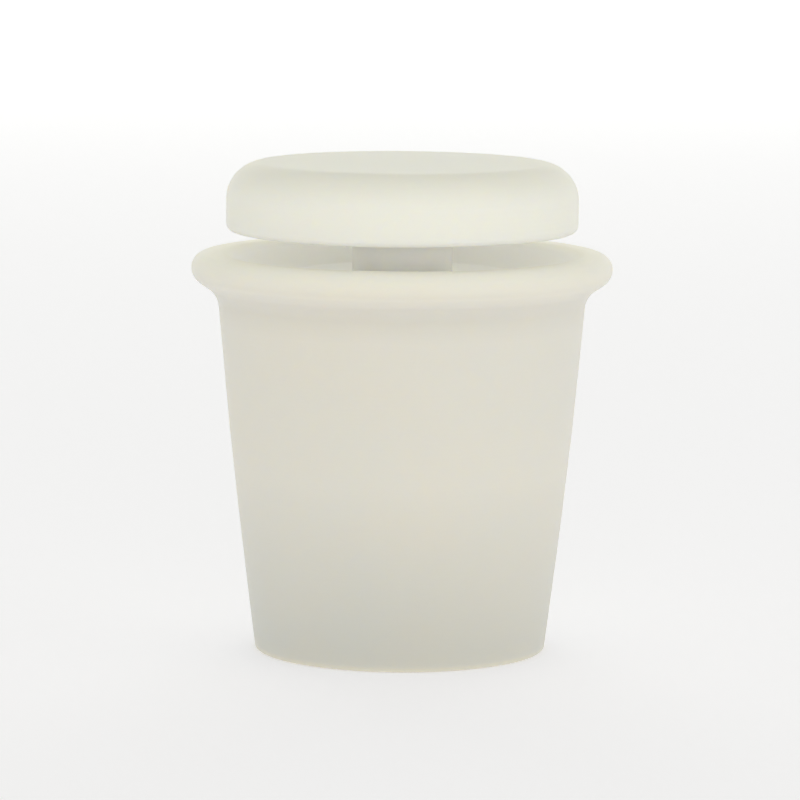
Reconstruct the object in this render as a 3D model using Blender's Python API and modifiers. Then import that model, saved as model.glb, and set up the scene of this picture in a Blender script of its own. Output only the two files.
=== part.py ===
"""Liquor pour spout: a tapered silicone stopper whose mushroom cap lifts on a stem to let liquor out.

The origin is the centre of the stopper's base and +Z runs up the stem. Sizes are in millimetres, times MM.
The cap is shown part of the way open. From there it slides down to close on the dish in the stopper's top,
slides up to its stop, and turns on the stem's axis.
"""

import math

import bpy

MM = 0.001

# Steps around a turned piece, by the size of the piece
STEPS_LARGE = 60
STEPS_SMALL = 32
STEPS_TUBE = 20
FIT_GAP = 0.05 * MM

# Steps of the arc at a rounded corner, and of one on a corner that is hardly rounded
ARC_STEPS = 4
SMALL_ARC_STEPS = 2
SMALL_ROUND = 0.35 * MM

# Stopper: the taper that goes into the bottle's mouth, the rolled pouring lip above it, and the web across its top
# that guides the cap's neck, with the pour holes and the breather's vent through it
BASE_RADIUS = 8.7 * MM
BASE_ROUND = 0.15 * MM
TAPER_TOP_RADIUS = 11.0 * MM
TAPER_TOP_HEIGHT = 21.3 * MM
SIDE_BULGE = 0.08 * MM
COVE_ROUND = 1.4 * MM
LIP_RADIUS = 12.55 * MM
LIP_UNDER_HEIGHT = 22.35 * MM
LIP_UNDER_ROUND = 0.95 * MM
LIP_TOP_ROUND = 0.9 * MM
STOPPER_HEIGHT = 23.8 * MM
DISH_RADIUS = 10.8 * MM
DISH_FLOOR_RADIUS = 6.5 * MM
DISH_DEPTH = 1.2 * MM
DISH_ROUND = 0.4 * MM
WEB_THICKNESS = 1.2 * MM
NECK_HOLE_RADIUS = 3.1 * MM
POUR_HOLE_RADIUS = 0.85 * MM
POUR_HOLE_OFFSET = 4.3 * MM
POUR_HOLE_ANGLES = (60, 120, 234, 270, 306)

# Core: the stiff tube that lines the stopper. It carries the stem's hub on three ribs, and the breather's boss
CORE_RADIUS = 6.2 * MM
CORE_BORE = 5.4 * MM
CORE_FOOT_HEIGHT = 0.5 * MM
BARB_HEIGHTS = (5.0 * MM, 15.0 * MM)
BARB_LENGTH = 1.0 * MM
BARB_DEPTH = 0.4 * MM
HUB_RADIUS = 3.0 * MM
HUB_BORE = 2.08 * MM
HUB_FOOT_HEIGHT = 10.0 * MM
HUB_LENGTH = 6.4 * MM
HUB_ROUND = 0.3 * MM
RIB_THICKNESS = 0.9 * MM
RIB_SHORTER_BY = 1.0 * MM
RIB_ANGLES = (0, 180, 270)

# Breather: the air tube at the back, in the passage between the hub and the core's wall
BREATHER_OFFSET = 4.2 * MM
BREATHER_RADIUS = 1.0 * MM
BREATHER_BORE = 0.6 * MM
BREATHER_FOOT_HEIGHT = 0.9 * MM
BREATHER_LENGTH = 20.4 * MM
BREATHER_ROUND = 0.1 * MM
BOSS_RADIUS = 1.5 * MM
BOSS_LENGTH = 3.5 * MM

# Cap: the head above the lip, and the neck under it
CAP_RADIUS = 10.5 * MM
CAP_GAP = 1.25 * MM
CAP_THICKNESS = 4.15 * MM
CAP_SHOULDER_ROUND = 2.2 * MM
CAP_EDGE_ROUND = 0.5 * MM
NECK_RADIUS = 3.0 * MM
NECK_TOP_ROUND = 0.3 * MM
NECK_END_ROUND = 0.2 * MM

# Travel of the cap from the place shown, and the clearances left at each end of it
CLOSE_TRAVEL = 1.42 * MM
OPEN_TRAVEL = 3.5 * MM
NECK_STOP_GAP = 0.1 * MM
CLIP_STOP_GAP = 0.03 * MM

# Stem pin: the stiff rod moulded into the cap, with a groove for the grip ring and one for the clip
PIN_RADIUS = 2.0 * MM
PIN_ROUND = 0.3 * MM
PIN_TIP_LENGTH = 0.8 * MM
ANCHOR_RADIUS = 3.6 * MM
ANCHOR_THICKNESS = 0.9 * MM
ANCHOR_DEPTH_IN_CAP = 1.1 * MM
ANCHOR_ROUND = 0.2 * MM
RING_GROOVE_RADIUS = 1.15 * MM
RING_GROOVE_WIDTH = 1.0 * MM
RING_HEIGHT = 12.0 * MM
RING_MAJOR_RADIUS = 1.61 * MM
RING_MINOR_RADIUS = 0.44 * MM
RING_SECTION_STEPS = 10

# Retaining clip: the spring C that snaps on the pin under the hub
CLIP_RADIUS = 2.9 * MM
CLIP_BORE = 1.45 * MM
CLIP_THICKNESS = 0.9 * MM
CLIP_GAP_ANGLE = 80
CLIP_BEVEL = 0.08 * MM
CLIP_STEPS = 20

# Heights that follow from the sizes above
DISH_FLOOR_HEIGHT = STOPPER_HEIGHT - DISH_DEPTH
WEB_UNDER_HEIGHT = DISH_FLOOR_HEIGHT - WEB_THICKNESS
CAP_FOOT_HEIGHT = STOPPER_HEIGHT + CAP_GAP
CAP_TOP_HEIGHT = CAP_FOOT_HEIGHT + CAP_THICKNESS
HUB_TOP_HEIGHT = HUB_FOOT_HEIGHT + HUB_LENGTH
NECK_END_HEIGHT = HUB_TOP_HEIGHT + CLOSE_TRAVEL + NECK_STOP_GAP
ANCHOR_FOOT_HEIGHT = CAP_FOOT_HEIGHT + ANCHOR_DEPTH_IN_CAP
ANCHOR_TOP_HEIGHT = ANCHOR_FOOT_HEIGHT + ANCHOR_THICKNESS
CLIP_TOP_HEIGHT = HUB_FOOT_HEIGHT - OPEN_TRAVEL - CLIP_STOP_GAP
CLIP_FOOT_HEIGHT = CLIP_TOP_HEIGHT - CLIP_THICKNESS
PIN_END_HEIGHT = CLIP_FOOT_HEIGHT - FIT_GAP - PIN_TIP_LENGTH

SILICONE_COLOUR = (0.74, 0.72, 0.63, 1.0)
PLASTIC_COLOUR = (0.80, 0.80, 0.77, 1.0)
RING_COLOUR = (0.60, 0.58, 0.52, 1.0)
STEEL_COLOUR = (0.62, 0.62, 0.63, 1.0)


def clear_scene():
    for obj in list(bpy.data.objects):
        bpy.data.objects.remove(obj, do_unlink=True)


def new_collection(name):
    collection = bpy.data.collections.new(name)
    bpy.context.scene.collection.children.link(collection)
    return collection


def new_material(name, colour, roughness, metallic=0.0):
    material = bpy.data.materials.new(name)
    material.use_nodes = True
    surface = material.node_tree.nodes["Principled BSDF"]
    surface.inputs["Base Color"].default_value = colour
    surface.inputs["Roughness"].default_value = roughness
    surface.inputs["Metallic"].default_value = metallic
    material.diffuse_color = colour
    return material


def rounded(corners):
    """The outline through corners (radius, height, round), with each round corner drawn as an arc."""
    points = []
    for i, (x, z, size) in enumerate(corners):
        if size == 0:
            points.append((x, z))
            continue
        before, after = corners[i - 1], corners[(i + 1) % len(corners)]
        to_before = math.atan2(before[1] - z, before[0] - x)
        to_after = math.atan2(after[1] - z, after[0] - x)
        turn = (to_after - to_before + math.pi) % math.tau - math.pi
        reach = size / abs(math.sin(turn / 2))
        centre_x = x + reach * math.cos(to_before + turn / 2)
        centre_z = z + reach * math.sin(to_before + turn / 2)
        start = to_before - math.copysign(math.pi / 2, turn)
        sweep = turn - math.copysign(math.pi, turn)
        steps = SMALL_ARC_STEPS if size < SMALL_ROUND else ARC_STEPS
        for step in range(steps + 1):
            angle = start + sweep * step / steps
            points.append((centre_x + size * math.cos(angle), centre_z + size * math.sin(angle)))
    return points


def turned(name, outline, collection, material, steps, closed, location=(0, 0, 0)):
    """A turned solid. The outline runs down the outer side, and a closed one comes back up the bore."""
    last = len(outline)
    edges = [(i, (i + 1) % last) for i in range(last if closed else last - 1)]
    mesh = bpy.data.meshes.new(name)
    mesh.from_pydata([(x, 0, z) for x, z in outline], edges, [])
    obj = bpy.data.objects.new(name, mesh)
    collection.objects.link(obj)
    obj.location = location
    obj.data.materials.append(material)
    screw = obj.modifiers.new("turn", "SCREW")
    screw.axis = "Z"
    screw.angle = math.tau
    screw.steps = steps
    screw.render_steps = steps
    screw.use_merge_vertices = True
    screw.merge_threshold = 0.001 * MM
    screw.use_smooth_shade = True
    return obj


def box(name, size, location, angle, collection):
    bpy.ops.mesh.primitive_cube_add(size=1, location=location, rotation=(0, 0, angle))
    obj = bpy.context.object
    obj.name = name
    obj.scale = size
    bpy.ops.object.transform_apply(location=False, rotation=False, scale=True)
    move_to(obj, collection)
    return obj


def cylinder(name, radius, length, location, collection):
    bpy.ops.mesh.primitive_cylinder_add(vertices=STEPS_TUBE, radius=radius, depth=length, location=location)
    obj = bpy.context.object
    obj.name = name
    move_to(obj, collection)
    return obj


def move_to(obj, collection):
    for old in list(obj.users_collection):
        old.objects.unlink(obj)
    collection.objects.link(obj)


def as_tool(obj):
    obj.hide_render = True
    obj.display_type = "WIRE"
    return obj


def combine(obj, tool, operation):
    boolean = obj.modifiers.new(tool.name, "BOOLEAN")
    boolean.operation = operation
    boolean.solver = "EXACT"
    boolean.object = as_tool(tool)


def side_outline():
    """The stopper's slightly bulged taper, downwards, between the cove under the lip and the base."""
    points = []
    for share in (0.8, 0.6, 0.4, 0.2):
        straight = BASE_RADIUS + (TAPER_TOP_RADIUS - BASE_RADIUS) * share
        points.append((straight + 4 * SIDE_BULGE * share * (1 - share), TAPER_TOP_HEIGHT * share, 0))
    return points


def barb_outline(radius):
    """The barbs on the core's wall, downwards, each sloping out to a square foot that holds the core in."""
    points = []
    for foot in reversed(BARB_HEIGHTS):
        points += [(radius, foot + BARB_LENGTH, 0), (radius + BARB_DEPTH, foot, 0), (radius, foot, 0)]
    return points


def groove_outline(bore):
    """The grooves that take the barbs in the stopper's bore, upwards."""
    points = []
    for foot in BARB_HEIGHTS:
        deep = bore + BARB_DEPTH
        points += [(bore, foot - FIT_GAP, 0), (deep, foot - FIT_GAP, 0)]
        points += [(deep, foot, 0), (bore, foot + BARB_LENGTH, 0)]
    return points


def make_stopper(collection, tools, material):
    bore = CORE_RADIUS + FIT_GAP
    corners = [
        (LIP_RADIUS, STOPPER_HEIGHT, LIP_TOP_ROUND),
        (LIP_RADIUS, LIP_UNDER_HEIGHT, LIP_UNDER_ROUND),
        (TAPER_TOP_RADIUS, TAPER_TOP_HEIGHT, COVE_ROUND),
        *side_outline(),
        (BASE_RADIUS, 0, BASE_ROUND),
        (bore, 0, 0),
        *groove_outline(bore),
        (bore, WEB_UNDER_HEIGHT, 0),
        (NECK_HOLE_RADIUS, WEB_UNDER_HEIGHT, 0),
        (NECK_HOLE_RADIUS, DISH_FLOOR_HEIGHT, 0),
        (DISH_FLOOR_RADIUS, DISH_FLOOR_HEIGHT, 0),
        (DISH_RADIUS, STOPPER_HEIGHT, DISH_ROUND),
    ]
    stopper = turned("stopper_body", rounded(corners), collection, material, STEPS_LARGE, closed=True)

    web_middle = DISH_FLOOR_HEIGHT - WEB_THICKNESS / 2
    length = 2 * WEB_THICKNESS
    for degrees in POUR_HOLE_ANGLES:
        angle = math.radians(degrees)
        place = (POUR_HOLE_OFFSET * math.cos(angle), POUR_HOLE_OFFSET * math.sin(angle), web_middle)
        hole = cylinder(f"pour_hole_{degrees}", POUR_HOLE_RADIUS, length, place, tools)
        combine(stopper, hole, "DIFFERENCE")
    vent = cylinder("vent_hole", BREATHER_BORE, length, (0, BREATHER_OFFSET, web_middle), tools)
    combine(stopper, vent, "DIFFERENCE")
    return stopper


def make_core(collection, tools, material):
    top = WEB_UNDER_HEIGHT - FIT_GAP
    wall = [
        (CORE_RADIUS, top, 0),
        *barb_outline(CORE_RADIUS),
        (CORE_RADIUS, CORE_FOOT_HEIGHT, 0),
        (CORE_BORE, CORE_FOOT_HEIGHT, 0),
        (CORE_BORE, top, 0),
    ]
    core = turned("pour_core", rounded(wall), collection, material, STEPS_SMALL, closed=True)

    hub_outline = [
        (HUB_RADIUS, HUB_TOP_HEIGHT, HUB_ROUND),
        (HUB_RADIUS, HUB_FOOT_HEIGHT, HUB_ROUND),
        (HUB_BORE, HUB_FOOT_HEIGHT, 0),
        (HUB_BORE, HUB_TOP_HEIGHT, 0),
    ]
    hub = turned("hub_shape", rounded(hub_outline), tools, material, STEPS_SMALL, closed=True)

    middle = HUB_FOOT_HEIGHT + HUB_LENGTH / 2
    inner_end = (HUB_BORE + HUB_RADIUS) / 2
    outer_end = (CORE_BORE + CORE_RADIUS) / 2
    rib_size = (outer_end - inner_end, RIB_THICKNESS, HUB_LENGTH - RIB_SHORTER_BY)
    rib_reach = (inner_end + outer_end) / 2
    ribs = []
    for degrees in RIB_ANGLES:
        angle = math.radians(degrees)
        place = (rib_reach * math.cos(angle), rib_reach * math.sin(angle), middle)
        ribs.append(box(f"rib_shape_{degrees}", rib_size, place, angle, tools))

    boss = cylinder("boss_shape", BOSS_RADIUS, BOSS_LENGTH, (0, BREATHER_OFFSET, middle), tools)
    boss_bore = cylinder(
        "boss_bore", BREATHER_RADIUS + FIT_GAP, 2 * BOSS_LENGTH, (0, BREATHER_OFFSET, middle), tools
    )
    for shape in (hub, *ribs, boss):
        combine(core, shape, "UNION")
    combine(core, boss_bore, "DIFFERENCE")
    return core


def make_breather(collection, material):
    top = BREATHER_FOOT_HEIGHT + BREATHER_LENGTH
    corners = [
        (BREATHER_RADIUS, top, BREATHER_ROUND),
        (BREATHER_RADIUS, BREATHER_FOOT_HEIGHT, BREATHER_ROUND),
        (BREATHER_BORE, BREATHER_FOOT_HEIGHT, BREATHER_ROUND),
        (BREATHER_BORE, top, BREATHER_ROUND),
    ]
    place = (0, BREATHER_OFFSET, 0)
    return turned("breather_tube", rounded(corners), collection, material, STEPS_TUBE, True, place)


def make_cap(collection, material):
    socket = PIN_RADIUS + FIT_GAP
    anchor = ANCHOR_RADIUS + FIT_GAP
    corners = [
        (0, CAP_TOP_HEIGHT, 0),
        (CAP_RADIUS, CAP_TOP_HEIGHT, CAP_SHOULDER_ROUND),
        (CAP_RADIUS, CAP_FOOT_HEIGHT, CAP_EDGE_ROUND),
        (NECK_RADIUS, CAP_FOOT_HEIGHT, NECK_TOP_ROUND),
        (NECK_RADIUS, NECK_END_HEIGHT, NECK_END_ROUND),
        (socket, NECK_END_HEIGHT, 0),
        (socket, ANCHOR_FOOT_HEIGHT - FIT_GAP, 0),
        (anchor, ANCHOR_FOOT_HEIGHT - FIT_GAP, 0),
        (anchor, ANCHOR_TOP_HEIGHT + FIT_GAP, 0),
        (0, ANCHOR_TOP_HEIGHT + FIT_GAP, 0),
    ]
    return turned("cap", rounded(corners), collection, material, STEPS_LARGE, closed=False)


def make_pin(collection, material):
    ring_top = RING_HEIGHT + RING_GROOVE_WIDTH / 2
    ring_foot = RING_HEIGHT - RING_GROOVE_WIDTH / 2
    clip_groove = CLIP_BORE - FIT_GAP
    corners = [
        (0, ANCHOR_TOP_HEIGHT, 0),
        (ANCHOR_RADIUS, ANCHOR_TOP_HEIGHT, ANCHOR_ROUND),
        (ANCHOR_RADIUS, ANCHOR_FOOT_HEIGHT, ANCHOR_ROUND),
        (PIN_RADIUS, ANCHOR_FOOT_HEIGHT, 0),
        (PIN_RADIUS, ring_top, 0),
        (RING_GROOVE_RADIUS, ring_top, 0),
        (RING_GROOVE_RADIUS, ring_foot, 0),
        (PIN_RADIUS, ring_foot, 0),
        (PIN_RADIUS, CLIP_TOP_HEIGHT + FIT_GAP, 0),
        (clip_groove, CLIP_TOP_HEIGHT + FIT_GAP, 0),
        (clip_groove, CLIP_FOOT_HEIGHT - FIT_GAP, 0),
        (PIN_RADIUS, CLIP_FOOT_HEIGHT - FIT_GAP, 0),
        (PIN_RADIUS, PIN_END_HEIGHT, PIN_ROUND),
        (0, PIN_END_HEIGHT, 0),
    ]
    return turned("stem_pin", rounded(corners), collection, material, STEPS_SMALL, closed=False)


def make_grip_ring(collection, material):
    bpy.ops.mesh.primitive_torus_add(
        major_radius=RING_MAJOR_RADIUS,
        minor_radius=RING_MINOR_RADIUS,
        major_segments=STEPS_SMALL,
        minor_segments=RING_SECTION_STEPS,
        location=(0, 0, RING_HEIGHT),
    )
    ring = bpy.context.object
    ring.name = "grip_ring"
    ring.data.materials.append(material)
    ring.data.shade_smooth()
    move_to(ring, collection)
    return ring


def make_clip(collection, material):
    """A flat C, open towards -Y, as a filled outline with its thickness along Z."""
    half_gap = math.radians(CLIP_GAP_ANGLE / 2)
    sweep = math.tau - 2 * half_gap
    angles = [half_gap - math.pi / 2 + sweep * i / CLIP_STEPS for i in range(CLIP_STEPS + 1)]
    outer = [(CLIP_RADIUS * math.cos(a), CLIP_RADIUS * math.sin(a)) for a in angles]
    inner = [(CLIP_BORE * math.cos(a), CLIP_BORE * math.sin(a)) for a in reversed(angles)]
    outline = outer + inner

    curve = bpy.data.curves.new("retaining_clip", "CURVE")
    curve.dimensions = "2D"
    curve.fill_mode = "BOTH"
    curve.extrude = CLIP_THICKNESS / 2
    spline = curve.splines.new("POLY")
    spline.points.add(len(outline) - 1)
    for point, (x, y) in zip(spline.points, outline):
        point.co = (x, y, 0, 1)
    spline.use_cyclic_u = True

    clip = bpy.data.objects.new("retaining_clip", curve)
    collection.objects.link(clip)
    clip.location = (0, 0, CLIP_FOOT_HEIGHT + CLIP_THICKNESS / 2)
    curve.materials.append(material)
    weld = clip.modifiers.new("weld", "WELD")
    weld.merge_threshold = 0.001 * MM
    bevel = clip.modifiers.new("soft edges", "BEVEL")
    bevel.width = CLIP_BEVEL
    bevel.segments = 1
    bevel.limit_method = "ANGLE"
    return clip


def new_empty(name, collection, parent=None):
    empty = bpy.data.objects.new(name, None)
    empty.empty_display_size = CAP_RADIUS
    collection.objects.link(empty)
    empty.parent = parent
    return empty


def main():
    clear_scene()
    spout = new_collection("pour_spout")
    tools = new_collection("tools")

    silicone = new_material("silicone", SILICONE_COLOUR, 0.45)
    plastic = new_material("core_plastic", PLASTIC_COLOUR, 0.35)
    ring_rubber = new_material("ring_rubber", RING_COLOUR, 0.5)
    steel = new_material("clip_steel", STEEL_COLOUR, 0.3, metallic=1.0)

    fixed = new_empty("fixed_frame", spout)
    lift = new_empty("lift_axis", spout, fixed)
    turn = new_empty("turn_axis", spout, lift)

    make_stopper(spout, tools, silicone).parent = fixed
    make_core(spout, tools, plastic).parent = fixed
    make_breather(spout, plastic).parent = fixed
    make_grip_ring(spout, ring_rubber).parent = lift
    make_cap(spout, silicone).parent = turn
    make_pin(spout, plastic).parent = turn
    make_clip(spout, steel).parent = turn


main()
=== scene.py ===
import math

import bmesh
import bpy
from mathutils import Euler, Matrix, Vector, noise


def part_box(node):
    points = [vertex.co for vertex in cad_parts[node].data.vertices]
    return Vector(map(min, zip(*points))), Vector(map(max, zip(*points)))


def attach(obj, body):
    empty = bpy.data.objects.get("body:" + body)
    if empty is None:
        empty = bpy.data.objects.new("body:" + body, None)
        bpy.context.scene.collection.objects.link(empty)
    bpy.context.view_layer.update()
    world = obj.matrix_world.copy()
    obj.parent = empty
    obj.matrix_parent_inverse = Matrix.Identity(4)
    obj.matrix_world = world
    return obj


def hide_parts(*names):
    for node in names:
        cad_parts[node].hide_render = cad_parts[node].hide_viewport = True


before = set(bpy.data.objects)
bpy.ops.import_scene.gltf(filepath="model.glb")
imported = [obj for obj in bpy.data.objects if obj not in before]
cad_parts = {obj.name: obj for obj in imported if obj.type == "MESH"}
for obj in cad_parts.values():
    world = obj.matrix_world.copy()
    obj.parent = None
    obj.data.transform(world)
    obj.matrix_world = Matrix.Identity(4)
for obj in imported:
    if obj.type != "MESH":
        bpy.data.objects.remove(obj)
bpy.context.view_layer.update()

mm = 0.001
print("frame loaded, nodes:", len(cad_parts))


# Making turned pieces
def roundCorner(bm, vert, radius, segments):  # the radius is the arc's, and the cut back follows from it
    ways = [(edge.other_vert(vert).co - vert.co).normalized() for edge in vert.link_edges]
    reach = radius / math.tan(ways[0].angle(ways[1]) / 2)
    bmesh.ops.bevel(bm, geom=[vert], offset=reach, offset_type="OFFSET", affect="VERTICES",
                    segments=segments, profile=0.5, material=-1)


# Corners are (radius, height, rounding) in mm, down the outside and up the bore
def drawProfile(bm, corners, closed):
    verts = [bm.verts.new((radius * mm, 0, height * mm)) for radius, height, rounding in corners]
    pairs = list(zip(verts, verts[1:])) + ([(verts[-1], verts[0])] if closed else [])
    for pair in pairs:
        bm.edges.new(pair)
    for vert, corner in zip(verts, corners):
        if corner[2]:
            segments = max(3, min(14, round(corner[2] / 0.08)))
            roundCorner(bm, vert, corner[2] * mm, segments)


def splitLongEdges(bm, longest):  # so that the skin's waviness has points to move
    for edge in list(bm.edges):
        cuts = math.ceil(edge.calc_length() / (longest * mm)) - 1
        if cuts > 0:
            bmesh.ops.subdivide_edges(bm, edges=[edge], cuts=cuts)


def spinProfile(bm, steps, centre=(0, 0, 0)):
    bmesh.ops.spin(bm, geom=bm.verts[:] + bm.edges[:], cent=centre, axis=(0, 0, 1), dvec=(0, 0, 0),
                   angle=math.tau, steps=steps, use_merge=True, use_duplicate=False)
    bmesh.ops.remove_doubles(bm, verts=bm.verts, dist=0.0004 * mm)
    bmesh.ops.recalc_face_normals(bm, faces=bm.faces)


def waveSkin(bm, height, length, seed):  # the slight unevenness of soft rubber out of a hot mould
    bm.normal_update()
    shifts = []
    for vert in bm.verts:
        place = vert.co / (length * mm) + Vector((seed, 0, 0))
        shifts.append((noise.noise(place) - 1) / 2 * height * mm)
    for vert, shift in zip(bm.verts, shifts):
        vert.co += vert.normal * shift


def finishPiece(bm, name, material, body, node, sharp=40):
    for face in bm.faces:
        face.smooth = True
    mesh = bpy.data.meshes.new(name)
    bm.to_mesh(mesh)
    bm.free()
    mesh.set_sharp_from_angle(angle=math.radians(sharp))
    mesh.materials.append(material)
    piece = bpy.data.objects.new(name, mesh)
    bpy.context.scene.collection.objects.link(piece)
    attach(piece, body)
    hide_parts(node)
    print("made", name, len(mesh.polygons), "faces")
    return piece


# Finishes
def startMaterial(name):
    material = bpy.data.materials.new(name)
    material.use_nodes = True
    tree = material.node_tree
    coords = tree.nodes.new("ShaderNodeTexCoord")
    return material, tree, tree.nodes["Principled BSDF"], coords.outputs["Object"]


def addNode(tree, kind, inputs=None, **settings):
    node = tree.nodes.new(kind)
    for key, value in settings.items():
        setattr(node, key, value)
    for socket, value in (inputs or {}).items():
        if isinstance(value, bpy.types.NodeSocket):
            tree.links.new(value, node.inputs[socket])
        else:
            node.inputs[socket].default_value = value
    return node


def addNoise(tree, place, scale, detail=3.0, roughness=0.5):
    inputs = {"Vector": place, "Scale": scale, "Detail": detail, "Roughness": roughness}
    return addNode(tree, "ShaderNodeTexNoise", inputs).outputs["Fac"]


def addRange(tree, value, low, high, toLow, toHigh):
    node = addNode(tree, "ShaderNodeMapRange", {"Value": value, "From Min": low, "From Max": high,
                                                "To Min": toLow, "To Max": toHigh}, clamp=True)
    return node.outputs["Result"]


def addMath(tree, kind, operation, first, second, output=0):
    return addNode(tree, kind, {0: first, 1: second}, operation=operation).outputs[output]


def addMix(tree, factor, first, second, blend="MIX"):
    node = addNode(tree, "ShaderNodeMix", data_type="RGBA", blend_type=blend)
    for index, value in ((0, factor), (6, first), (7, second)):
        if isinstance(value, bpy.types.NodeSocket):
            tree.links.new(value, node.inputs[index])
        elif index == 0:
            node.inputs[index].default_value = value
        else:
            node.inputs[index].default_value = (*value, 1)
    return node.outputs[2]


def addBump(tree, height, depth, strength, under=None):
    inputs = {"Height": height, "Distance": depth * mm, "Strength": strength}
    if under:
        inputs["Normal"] = under
    return addNode(tree, "ShaderNodeBump", inputs).outputs["Normal"]


siliconeLook = {
    "cream": (0.812, 0.788, 0.716),
    "cool": (0.797, 0.784, 0.726),
    "warm": (0.822, 0.785, 0.702),
    "edgeYellow": (0.780, 0.730, 0.520),
    "lint": (0.93, 0.92, 0.90),
    # painted light and painted shade: the cap, gap and lip tones below are painted highlights, the cove and
    # low tones painted shade
    "capPaintedLight": (0.935, 0.920, 0.850),
    "gapPaintedLight": (0.988, 0.984, 0.962),
    "lipPaintedLight": (0.935, 0.920, 0.850), "covePaintedShade": (0.94, 0.94, 0.93),
    "lowPaintedShade": (0.80, 0.82, 0.83),
    "gapFoot": 22.3, "gapTop": 25.3, "gapRadius": 9.6, "neckRadius": 3.05,  # mm
    "lowTop": 11, "cove": (19.5, 21.5), "lip": (22.4, 23.6), "cap": (24, 26),  # heights in mm
    "scatterDepth": 1.6, "thinScatterDepth": 0.15,  # mm
}


def makeSilicone():
    look = siliconeLook
    material, tree, shader, place = startMaterial("silicone")
    cloud = addNoise(tree, place, 95, 2.0)
    base = addMix(tree, addRange(tree, cloud, 0.35, 0.65, 0, 1), look["cool"], look["cream"])
    blotch = addNoise(tree, place, 420, 4.0, 0.6)
    base = addMix(tree, addRange(tree, blotch, 0.45, 0.75, 0, 0.35), base, look["warm"])

    # painted light and shade: the cap and the faces that meet across the gap are painted paler, as painted
    # highlights, and the plug is painted darker towards its base, as painted shade
    height = addNode(tree, "ShaderNodeSeparateXYZ", {"Vector": place}).outputs["Z"]
    flat = addMath(tree, "ShaderNodeVectorMath", "MULTIPLY", place, (1, 1, 0), "Vector")
    reach = addNode(tree, "ShaderNodeVectorMath", {0: flat}, operation="LENGTH").outputs["Value"]
    # painted shade: the plug is painted darker towards its base, standing in for less light reaching the low
    # body
    low = addRange(tree, height, 0, look["lowTop"] * mm, 1, 0)
    base = addMix(tree, low, base, look["lowPaintedShade"], "MULTIPLY")
    # painted shade: a darker band in the cove under the lip
    cove = addRange(tree, height, *(edge * mm for edge in look["cove"]), 0, 1)
    base = addMix(tree, cove, base, look["covePaintedShade"], "MULTIPLY")
    # painted highlight: the lip's crest, which the cap shades, is painted paler
    lip = addRange(tree, height, *(edge * mm for edge in look["lip"]), 0, 0.9)
    base = addMix(tree, lip, base, look["lipPaintedLight"])
    # painted highlight: the cap is painted paler than the plug
    capPaintedLightMask = addRange(tree, height, *(edge * mm for edge in look["cap"]), 0, 0.95)
    base = addMix(tree, capPaintedLightMask, base, look["capPaintedLight"])
    # painted light: the shaded gap under the cap, with the neck and the web, is painted nearly white
    above = addRange(tree, height, (look["gapFoot"] - 0.2) * mm, look["gapFoot"] * mm, 0, 1)
    below = addRange(tree, height, look["gapTop"] * mm, (look["gapTop"] + 0.3) * mm, 1, 0)
    inner = addRange(tree, reach, look["gapRadius"] * mm, (look["gapRadius"] + 1) * mm, 1, 0)
    neck = addRange(tree, reach, look["neckRadius"] * mm, (look["neckRadius"] + 0.03) * mm, 1, 0)
    above = addMath(tree, "ShaderNodeMath", "MAXIMUM", above, neck)
    gap = addMath(tree, "ShaderNodeMath", "MULTIPLY", above, below)
    gap = addMath(tree, "ShaderNodeMath", "MULTIPLY", gap, inner)
    base = addMix(tree, gap, base, look["gapPaintedLight"])

    # the base's rim has yellowed a little
    rim = addRange(tree, height, 0.0, 0.35 * mm, 0.55, 0)
    base = addMix(tree, rim, base, look["edgeYellow"])

    # fine lint that silicone picks up, one cell in thirty
    cells = addNode(tree, "ShaderNodeTexVoronoi", {"Vector": place, "Scale": 900})
    chosen = addRange(tree, cells.outputs["Color"], 0.966, 0.970, 0, 1)
    dot = addRange(tree, cells.outputs["Distance"], 0.05, 0.09, 1, 0)
    lint = addMath(tree, "ShaderNodeMath", "MULTIPLY", chosen, dot)
    base = addMix(tree, lint, base, look["lint"])
    tree.links.new(base, shader.inputs["Base Color"])

    rough = addRange(tree, addNoise(tree, place, 1500, 3.0), 0.3, 0.7, 0.62, 0.74)
    tree.links.new(rough, shader.inputs["Roughness"])
    grain = addNoise(tree, place, 7500, 2.0)
    turning = {"Vector": place, "Scale": 1100, "Distortion": 0.6, "Detail": 1.0}
    marks = addNode(tree, "ShaderNodeTexWave", turning, wave_type="BANDS", bands_direction="Z")
    normal = addBump(tree, grain, 0.02, 0.30)
    normal = addBump(tree, marks.outputs["Fac"], 0.006, 0.25, normal)
    tree.links.new(normal, shader.inputs["Normal"])

    shader.inputs["Subsurface Weight"].default_value = 1.0
    shader.inputs["Subsurface Radius"].default_value = (1.0, 0.92, 0.70)
    # light goes less deep in the thin walls of the neck and the web, inside the same zone under the cap that
    # is painted pale as painted light
    depth = addRange(tree, gap, 0, 1, look["scatterDepth"] * mm, look["thinScatterDepth"] * mm)
    tree.links.new(depth, shader.inputs["Subsurface Scale"])
    shader.inputs["Specular IOR Level"].default_value = 0.2
    shader.inputs["IOR"].default_value = 1.41
    return material


plasticLook = {"milky": (0.80, 0.80, 0.76), "clearer": (0.72, 0.73, 0.70), "scatterDepth": 0.8}


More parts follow.
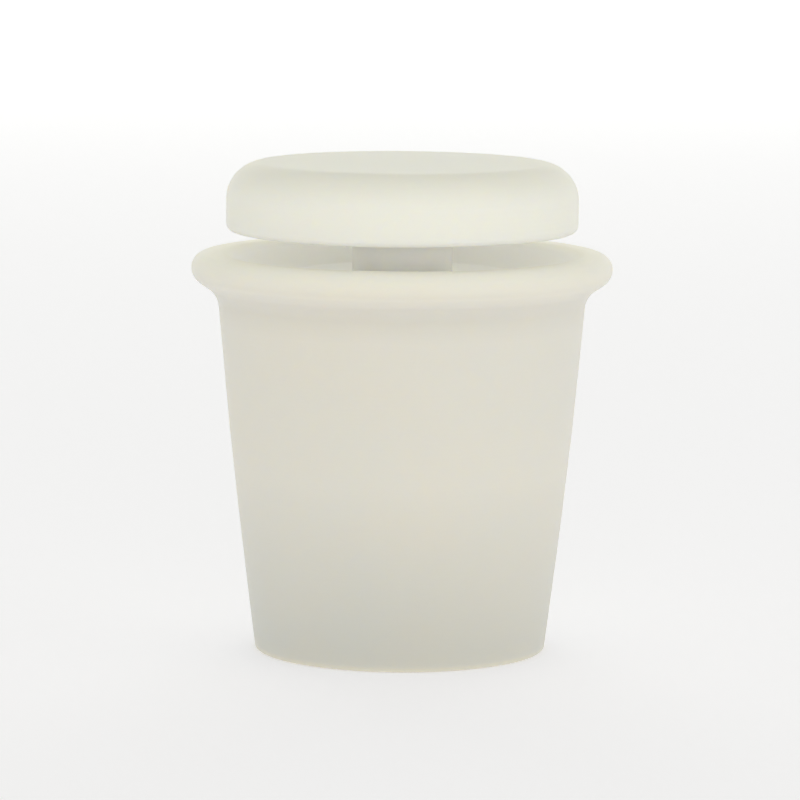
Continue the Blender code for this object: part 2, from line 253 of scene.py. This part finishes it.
def makePlastic():
    look = plasticLook
    material, tree, shader, place = startMaterial("naturalPlastic")
    flow = addNode(tree, "ShaderNodeMapping", {"Vector": place, "Scale": (1.0, 1.0, 0.22)}).outputs["Vector"]
    streaks = addNoise(tree, flow, 900, 4.0, 0.6)
    base = addMix(tree, addRange(tree, streaks, 0.35, 0.7, 0, 1), look["milky"], look["clearer"])
    tree.links.new(base, shader.inputs["Base Color"])
    tree.links.new(addRange(tree, streaks, 0.3, 0.7, 0.28, 0.42), shader.inputs["Roughness"])
    scuffs = addNoise(tree, place, 5200, 3.0)
    tree.links.new(addBump(tree, scuffs, 0.012, 0.3), shader.inputs["Normal"])
    shader.inputs["Subsurface Weight"].default_value = 0.5
    shader.inputs["Subsurface Radius"].default_value = (1.0, 0.95, 0.85)
    shader.inputs["Subsurface Scale"].default_value = look["scatterDepth"] * mm
    shader.inputs["IOR"].default_value = 1.49
    return material


ringLook = {"rubber": (0.60, 0.58, 0.52), "dusty": (0.68, 0.66, 0.61)}


def makeRingRubber():
    material, tree, shader, place = startMaterial("ringRubber")
    dust = addNoise(tree, place, 1600, 4.0)
    base = addMix(tree, addRange(tree, dust, 0.45, 0.7, 0, 0.8), ringLook["rubber"], ringLook["dusty"])
    tree.links.new(base, shader.inputs["Base Color"])
    tree.links.new(addRange(tree, dust, 0.3, 0.7, 0.42, 0.6), shader.inputs["Roughness"])
    tree.links.new(addBump(tree, addNoise(tree, place, 9000, 2.0), 0.01, 0.3), shader.inputs["Normal"])
    return material


steelLook = {"bright": (0.66, 0.66, 0.67), "dull": (0.50, 0.50, 0.51)}


def makeSteel():
    material, tree, shader, place = startMaterial("springSteel")
    stretch = {"Vector": place, "Scale": (1.0, 0.08, 1.0)}
    rolled = addNode(tree, "ShaderNodeMapping", stretch).outputs["Vector"]
    scratches = addNoise(tree, rolled, 9000, 4.0, 0.65)
    tumbled = addNoise(tree, place, 2600, 3.0)
    base = addMix(tree, addRange(tree, tumbled, 0.35, 0.65, 0, 1), steelLook["bright"], steelLook["dull"])
    tree.links.new(base, shader.inputs["Base Color"])
    tree.links.new(addRange(tree, scratches, 0.3, 0.7, 0.22, 0.42), shader.inputs["Roughness"])
    tree.links.new(addBump(tree, scratches, 0.008, 0.35), shader.inputs["Normal"])
    shader.inputs["Metallic"].default_value = 1.0
    return material


silicone = makeSilicone()
plastic = makePlastic()
ringRubber = makeRingRubber()
steel = makeSteel()
print("finishes made")


# Stopper: taper, rolled lip, and the dished web with its pour holes
stopper = {
    "taperTop": 11.0, "taperTopHeight": 21.3, "cove": 1.4, "bow": 0.08,
    "baseRadius": 8.7, "baseEdge": 0.15,
    "lipUnderHeight": 22.35, "lipUnderRound": 0.95, "lipTopRound": 0.9,
    "dishRadius": 10.8, "dishRound": 1.2, "dishFloor": 6.5, "dishDepth": 1.2, "floorRound": 2.5,
    "liner": 6.25, "linerTop": 21.4, "grooves": (5.0, 15.0), "grooveLength": 1.0, "grooveDepth": 0.4,
    "neckHole": 3.1, "pourHole": 0.85, "pourOffset": 4.3, "pourAngles": (60, 120, 234, 270, 306),
    "vent": 0.6, "ventOffset": 4.2, "holeRound": 0.08, "collar": 0.11,
    "steps": 160, "holeSteps": 40, "unevenness": 0.03, "wave": 5.5,
}


def makeHoleLiner(size, radius, floor, steps, x=0, y=0):  # a hole's wall with a narrow collar at each end
    collar = radius + size["collar"]
    corners = [
        (collar, size["linerTop"], 0),
        (radius, size["linerTop"], size["holeRound"]),
        (radius, floor, size["holeRound"]),
        (collar, floor, 0),
    ]
    bm = bmesh.new()
    drawProfile(bm, corners, closed=False)
    spinProfile(bm, steps)
    bmesh.ops.translate(bm, vec=Vector((x, y, 0)) * mm, verts=bm.verts)
    mesh = bpy.data.meshes.new("holeLiner")
    bm.to_mesh(mesh)
    bm.free()
    return mesh


def makeStopper():
    size = stopper
    low, high = (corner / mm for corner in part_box("stopper_body"))
    lip, top = high.x, high.z
    floor = top - size["dishDepth"]
    middle = (size["taperTop"] + size["baseRadius"]) / 2 + 2 * size["bow"]
    corners = [
        (size["dishFloor"] - size["collar"], floor, 0),
        (size["dishFloor"], floor, size["floorRound"]),
        (size["dishRadius"], top, size["dishRound"]),
        (lip, top, size["lipTopRound"]),
        (lip, size["lipUnderHeight"], size["lipUnderRound"]),
        (size["taperTop"], size["taperTopHeight"], size["cove"]),
        (middle, size["taperTopHeight"] / 2, 180),
        (size["baseRadius"], low.z, size["baseEdge"]),
        (size["liner"], low.z, 0.1),
    ]
    for foot in size["grooves"]:
        deep = size["liner"] + size["grooveDepth"]
        corners += [(size["liner"], foot - 0.05, 0), (deep, foot - 0.05, 0), (deep, foot, 0)]
        corners.append((size["liner"], foot + size["grooveLength"], 0))
    corners += [(size["liner"], size["linerTop"], 0), (size["liner"] - size["collar"], size["linerTop"], 0)]
    bm = bmesh.new()
    drawProfile(bm, corners, closed=False)
    splitLongEdges(bm, 0.6)
    spinProfile(bm, size["steps"])

    holes = [(size["neckHole"], size["holeSteps"] * 2, 0, 0)]
    holes.append((size["vent"], size["holeSteps"], 0, size["ventOffset"]))
    for angle in map(math.radians, size["pourAngles"]):
        x, y = size["pourOffset"] * math.cos(angle), size["pourOffset"] * math.sin(angle)
        holes.append((size["pourHole"], size["holeSteps"], x, y))
    for radius, steps, x, y in holes:
        liner = makeHoleLiner(size, radius, floor, steps, x, y)
        bm.from_mesh(liner)
        bpy.data.meshes.remove(liner)
    for height in (floor, size["linerTop"]):  # the web's two faces, between the holes
        loose = [edge for edge in bm.edges if edge.is_boundary]
        rims = [edge for edge in loose if abs(edge.verts[0].co.z - height * mm) < 0.01 * mm]
        bmesh.ops.triangle_fill(bm, edges=rims, use_beauty=True, use_dissolve=False)
    bmesh.ops.recalc_face_normals(bm, faces=bm.faces)
    waveSkin(bm, size["unevenness"], size["wave"], 3.7)
    return finishPiece(bm, "stopperSkin", silicone, "stopper", "stopper_body")


# Cap: mushroom head and neck, with the pocket that grips the stem
cap = {
    "foot": 25.05, "shoulder": 2.2, "bottomEdge": 0.5, "neck": 3.0, "neckRound": 0.3, "neckEnd": 0.2,
    "socket": 2.05, "pocket": 3.65, "pocketFoot": 26.10, "pocketTop": 27.10,
    "steps": 160, "unevenness": 0.04, "wave": 6.5,
}


def makeCap():
    size = cap
    low, high = (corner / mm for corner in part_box("cap"))
    corners = [
        (0, high.z, 0),
        (high.x, high.z, size["shoulder"]),
        (high.x, size["foot"], size["bottomEdge"]),
        (size["neck"], size["foot"], size["neckRound"]),
        (size["neck"], low.z, size["neckEnd"]),
        (size["socket"], low.z, 0.08),
        (size["socket"], size["pocketFoot"], 0),
        (size["pocket"], size["pocketFoot"], 0),
        (size["pocket"], size["pocketTop"], 0),
        (0, size["pocketTop"], 0),
    ]
    bm = bmesh.new()
    drawProfile(bm, corners, closed=False)
    splitLongEdges(bm, 0.6)
    spinProfile(bm, size["steps"])
    waveSkin(bm, size["unevenness"], size["wave"], 11.2)
    return finishPiece(bm, "capSkin", silicone, "cap", "cap")


# Core: barbed liner with the stem's hub on three ribs, and the breather's boss
core = {
    "wall": 6.2, "bore": 5.4, "barbs": (15.0, 5.0), "barbLength": 1.0, "barbDepth": 0.4,
    "hub": 3.0, "hubBore": 2.08, "hubFoot": 10.0, "hubTop": 16.4, "hubRound": 0.3,
    "rib": 0.9, "ribShorter": 1.0, "ribAngles": (0, 180, 270), "ribEdge": 0.12,
    "boss": 1.5, "bossLength": 3.5, "pipeOffset": 4.2, "pipeHole": 1.05, "steps": 96,
}


def makeShape(name, bm):
    mesh = bpy.data.meshes.new(name)
    bm.to_mesh(mesh)
    bm.free()
    shape = bpy.data.objects.new(name, mesh)
    bpy.context.scene.collection.objects.link(shape)
    return shape


def makeLiner(size, low, high):
    corners = [(size["wall"], high.z, 0.12)]
    for foot in size["barbs"]:
        corners.append((size["wall"], foot + size["barbLength"], 0))
        corners.append((size["wall"] + size["barbDepth"], foot, 0.05))
        corners.append((size["wall"], foot, 0))
    corners += [(size["wall"], low.z, 0.15), (size["bore"], low.z, 0.2), (size["bore"], high.z, 0.12)]
    bm = bmesh.new()
    drawProfile(bm, corners, closed=True)
    spinProfile(bm, size["steps"])
    return makeShape("linerShape", bm)


def makeHub(size):
    corners = [
        (size["hub"], size["hubTop"], size["hubRound"]),
        (size["hub"], size["hubFoot"], size["hubRound"]),
        (size["hubBore"], size["hubFoot"], 0.15),
        (size["hubBore"], size["hubTop"], 0.15),
    ]
    bm = bmesh.new()
    drawProfile(bm, corners, closed=True)
    spinProfile(bm, size["steps"] // 2)
    return makeShape("hubShape", bm)


def makeRib(size, angle):
    inner = (size["hubBore"] + size["hub"]) / 2
    outer = (size["bore"] + size["wall"]) / 2
    middle = (size["hubFoot"] + size["hubTop"]) / 2
    bm = bmesh.new()
    bmesh.ops.create_cube(bm, size=1)
    length = size["hubTop"] - size["hubFoot"] - size["ribShorter"]
    bmesh.ops.scale(bm, vec=Vector((outer - inner, size["rib"], length)) * mm, verts=bm.verts)
    bmesh.ops.bevel(bm, geom=bm.edges[:], offset=size["ribEdge"] * mm, offset_type="OFFSET", affect="EDGES",
                    segments=2, profile=0.5, material=-1)
    bmesh.ops.translate(bm, vec=Vector(((inner + outer) / 2, 0, middle)) * mm, verts=bm.verts)
    bmesh.ops.rotate(bm, cent=(0, 0, 0), matrix=Matrix.Rotation(math.radians(angle), 3, "Z"), verts=bm.verts)
    return makeShape("ribShape", bm)


def makePost(size, radius, length, edge):
    middle = (size["hubFoot"] + size["hubTop"]) / 2
    bm = bmesh.new()
    bmesh.ops.create_cone(bm, cap_ends=True, segments=40, radius1=radius * mm, radius2=radius * mm,
                          depth=length * mm)
    if edge:
        rims = [item for item in bm.edges if abs(item.verts[0].co.z - item.verts[1].co.z) < 0.01 * mm]
        bmesh.ops.bevel(bm, geom=rims, offset=edge * mm, offset_type="OFFSET", affect="EDGES",
                        segments=3, profile=0.5, material=-1)
    bmesh.ops.translate(bm, vec=Vector((0, size["pipeOffset"], middle)) * mm, verts=bm.verts)
    return makeShape("postShape", bm)


def joinShapes(first, others, operations):
    for other, operation in zip(others, operations):
        cut = first.modifiers.new(other.name, "BOOLEAN")
        cut.operation = operation
        cut.solver = "EXACT"
        cut.object = other
    graph = bpy.context.evaluated_depsgraph_get()
    bm = bmesh.new()
    bm.from_object(first, graph)
    for shape in [first, *others]:
        mesh = shape.data
        bpy.data.objects.remove(shape, do_unlink=True)
        bpy.data.meshes.remove(mesh)
    return bm


def makeCore():
    size = core
    low, high = (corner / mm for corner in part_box("pour_core"))
    liner = makeLiner(size, low, high)
    added = [makeHub(size), *(makeRib(size, angle) for angle in size["ribAngles"])]
    added.append(makePost(size, size["boss"], size["bossLength"], 0.15))
    hole = makePost(size, size["pipeHole"], 2 * size["bossLength"], 0)
    bm = joinShapes(liner, [*added, hole], ["UNION"] * len(added) + ["DIFFERENCE"])
    return finishPiece(bm, "coreShell", plastic, "stopper", "pour_core", 30)


# Breather tube, at the back of the passage
breather = {"wall": 0.4, "endRound": 0.12, "steps": 48}


def makeBreather():
    low, high = (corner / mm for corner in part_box("breather_tube"))
    radius = (high.x - low.x) / 2
    across = (low.y + high.y) / 2
    inner = radius - breather["wall"]
    corners = [(radius, high.z), (radius, low.z), (inner, low.z), (inner, high.z)]
    bm = bmesh.new()
    drawProfile(bm, [(*corner, breather["endRound"]) for corner in corners], closed=True)
    spinProfile(bm, breather["steps"])
    bmesh.ops.translate(bm, vec=(0, across * mm, 0), verts=bm.verts)
    return finishPiece(bm, "breatherPipe", plastic, "stopper", "breather_tube")


# Stem: rod with its moulded-in head, a ring groove and a clip groove
stem = {
    "rod": 2.0, "headThickness": 0.9, "headRound": 0.2,
    "ringHeight": 12.0, "ringGroove": 1.0, "ringRoot": 1.15,
    "clipGroove": 1.4, "clipSlack": 0.05, "tipRound": 0.3, "grooveLip": 0.06, "steps": 80,
}


def makeStem():
    size = stem
    low, high = (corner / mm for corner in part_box("stem_pin"))
    clipLow, clipHigh = (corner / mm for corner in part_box("retaining_clip"))
    ringTop = size["ringHeight"] + size["ringGroove"] / 2
    ringFoot = size["ringHeight"] - size["ringGroove"] / 2
    clipTop = clipHigh.z + size["clipSlack"]
    clipFoot = clipLow.z - size["clipSlack"]
    lip = size["grooveLip"]
    corners = [
        (0, high.z, 0),
        (high.x, high.z, size["headRound"]),
        (high.x, high.z - size["headThickness"], size["headRound"]),
        (size["rod"], high.z - size["headThickness"], 0.04),
        (size["rod"], ringTop, lip),
        (size["ringRoot"], ringTop, lip),
        (size["ringRoot"], ringFoot, lip),
        (size["rod"], ringFoot, lip),
        (size["rod"], clipTop, lip),
        (size["clipGroove"], clipTop, 0),
        (size["clipGroove"], clipFoot, 0),
        (size["rod"], clipFoot, lip),
        (size["rod"], low.z, size["tipRound"]),
        (0, low.z, 0),
    ]
    bm = bmesh.new()
    drawProfile(bm, corners, closed=False)
    spinProfile(bm, size["steps"])
    return finishPiece(bm, "stemRod", plastic, "cap", "stem_pin")


# Grip ring in the stem's groove
def makeGripRing():
    low, high = (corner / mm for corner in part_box("grip_ring"))
    section = (high.z - low.z) / 2
    bm = bmesh.new()
    bmesh.ops.create_circle(bm, segments=28, radius=section * mm)
    bmesh.ops.rotate(bm, cent=(0, 0, 0), matrix=Matrix.Rotation(math.pi / 2, 3, "X"), verts=bm.verts)
    bmesh.ops.translate(bm, vec=Vector((high.x - section, 0, (low.z + high.z) / 2)) * mm, verts=bm.verts)
    spinProfile(bm, 80)
    return finishPiece(bm, "gripRingRound", ringRubber, "slider", "grip_ring")


# Retaining clip: a sprung C with rounded tips
clip = {"bore": 1.45, "gap": 80, "steps": 60, "edge": 0.1, "tip": 0.3}


def makeClip():
    size = clip
    low, high = (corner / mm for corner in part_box("retaining_clip"))
    outer = high.x
    half = math.radians(size["gap"] / 2)
    bm = bmesh.new()
    verts = [bm.verts.new(Vector((radius, 0, low.z)) * mm) for radius in (size["bore"], outer)]
    edge = bm.edges.new(verts)
    turn = Matrix.Rotation(half - math.pi / 2, 3, "Z")
    bmesh.ops.rotate(bm, cent=(0, 0, 0), matrix=turn, verts=bm.verts)
    bmesh.ops.spin(bm, geom=[*verts, edge], cent=(0, 0, 0), axis=(0, 0, 1), dvec=(0, 0, 0),
                   angle=math.tau - 2 * half, steps=size["steps"], use_merge=False, use_duplicate=False)
    made = bmesh.ops.extrude_face_region(bm, geom=bm.faces[:])
    raised = [item for item in made["geom"] if isinstance(item, bmesh.types.BMVert)]
    bmesh.ops.translate(bm, vec=(0, 0, (high.z - low.z) * mm), verts=raised)
    bmesh.ops.recalc_face_normals(bm, faces=bm.faces)
    corners = [item for item in bm.edges if item.calc_face_angle(0) > 1]
    uprights = [item for item in corners if abs(item.verts[0].co.z - item.verts[1].co.z) > 0.1 * mm]
    bmesh.ops.bevel(bm, geom=uprights, offset=size["tip"] * mm, offset_type="OFFSET", affect="EDGES",
                    segments=5, profile=0.5, material=-1)
    rims = [item for item in bm.edges if item.calc_face_angle(0) > 1]
    bmesh.ops.bevel(bm, geom=rims, offset=size["edge"] * mm, offset_type="OFFSET", affect="EDGES",
                    segments=3, profile=0.5, material=-1)
    bmesh.ops.recalc_face_normals(bm, faces=bm.faces)
    return finishPiece(bm, "clipSpring", steel, "cap", "retaining_clip")


makeStopper()
makeCap()
makeCore()
makeBreather()
makeStem()
makeGripRing()
makeClip()


# Floor, lights and camera
stage = {
    "halfWidth": 1500, "front": -1500, "wall": 1500, "height": 1200, "cove": 500,
    "colour": (0.97, 0.97, 0.975), "glow": 0.24, "glowColour": (0.80, 0.80, 1.0),
}


def makeStage():
    bm = bmesh.new()
    start = bm.verts.new(Vector((-stage["halfWidth"], stage["front"], 0)) * mm)
    bend = bm.verts.new(Vector((-stage["halfWidth"], stage["wall"], 0)) * mm)
    end = bm.verts.new(Vector((-stage["halfWidth"], stage["wall"], stage["height"])) * mm)
    bm.edges.new((start, bend))
    bm.edges.new((bend, end))
    roundCorner(bm, bend, stage["cove"] * mm, 60)
    made = bmesh.ops.extrude_edge_only(bm, edges=bm.edges[:])
    across = [item for item in made["geom"] if isinstance(item, bmesh.types.BMVert)]
    bmesh.ops.translate(bm, vec=(2 * stage["halfWidth"] * mm, 0, 0), verts=across)
    sweep = makeShape("sweep", bm)
    material, tree, shader, place = startMaterial("sweepPaper")
    tone = addRange(tree, addNoise(tree, place, 8, 2.0), 0.3, 0.7, 0.0, 1.0)
    pale = stage["colour"]
    shade = addMix(tree, tone, pale, tuple(part * 0.995 for part in pale))
    paper = addNode(tree, "ShaderNodeBsdfDiffuse", {"Color": shade})
    lit = {"Color": (*stage["glowColour"], 1), "Strength": stage["glow"]}
    glow = addNode(tree, "ShaderNodeEmission", lit)
    both = addNode(tree, "ShaderNodeAddShader", {0: paper.outputs["BSDF"], 1: glow.outputs["Emission"]})
    tree.links.new(both.outputs["Shader"], tree.nodes["Material Output"].inputs["Surface"])
    tree.nodes.remove(shader)
    sweep.data.materials.append(material)


lights = {  # place, width and height in mm, power in watts, colour
    "frontStrip": ((30, -450, 62), (300, 70), 0.30, (1.0, 0.978, 0.99)),
    "rightStrip": ((420, -200, 70), (300, 110), 0.075, (0.965, 0.975, 1.0)),
    "backPanel": ((0, 1000, 240), (1200, 260), 2.6, (0.983, 1.0, 0.92)),
}


def makeLight(name, place, span, power, colour):
    data = bpy.data.lights.new(name, "AREA")
    data.shape = "RECTANGLE"
    data.size, data.size_y = span[0] * mm, span[1] * mm
    data.energy = power
    data.color = colour
    light = bpy.data.objects.new(name, data)
    bpy.context.scene.collection.objects.link(light)
    light.location = Vector(place) * mm
    aim = Vector((0, 0, 15)) * mm
    light.rotation_euler = (aim - light.location).to_track_quat("-Z", "Y").to_euler()


room = {"colour": (1.0, 0.997, 0.90), "strength": 0.63}


def makeWorld():
    world = bpy.data.worlds.new("softRoom")
    world.use_nodes = True
    backdrop = world.node_tree.nodes["Background"]
    backdrop.inputs["Color"].default_value = (*room["colour"], 1)
    backdrop.inputs["Strength"].default_value = room["strength"]
    bpy.context.scene.world = world


shot = {"distance": 274.5, "elevation": 7.58, "aimX": -0.07, "aimHeight": 14.92, "lens": 206.6, "roll": 0.4}


def makeCamera():
    data = bpy.data.cameras.new("shotCamera")
    data.lens = shot["lens"]
    data.sensor_width = 36
    data.clip_start = 0.01
    camera = bpy.data.objects.new("shotCamera", data)
    bpy.context.scene.collection.objects.link(camera)
    tilt = math.radians(shot["elevation"])
    back = Vector((0, -math.cos(tilt), math.sin(tilt))) * shot["distance"]
    camera.location = (back + Vector((shot["aimX"], 0, shot["aimHeight"]))) * mm
    level = (-back).to_track_quat("-Z", "Y")
    camera.rotation_euler = (level @ Euler((0, 0, math.radians(shot["roll"]))).to_quaternion()).to_euler()
    bpy.context.scene.camera = camera


makeStage()
for name, setting in lights.items():
    makeLight(name, *setting)
makeWorld()
makeCamera()
bpy.context.scene.view_settings.view_transform = "Standard"
bpy.context.scene.cycles.diffuse_bounces = 12  # the pale gap under the cap is lit by many small bounces
print("stage, lights and camera made")
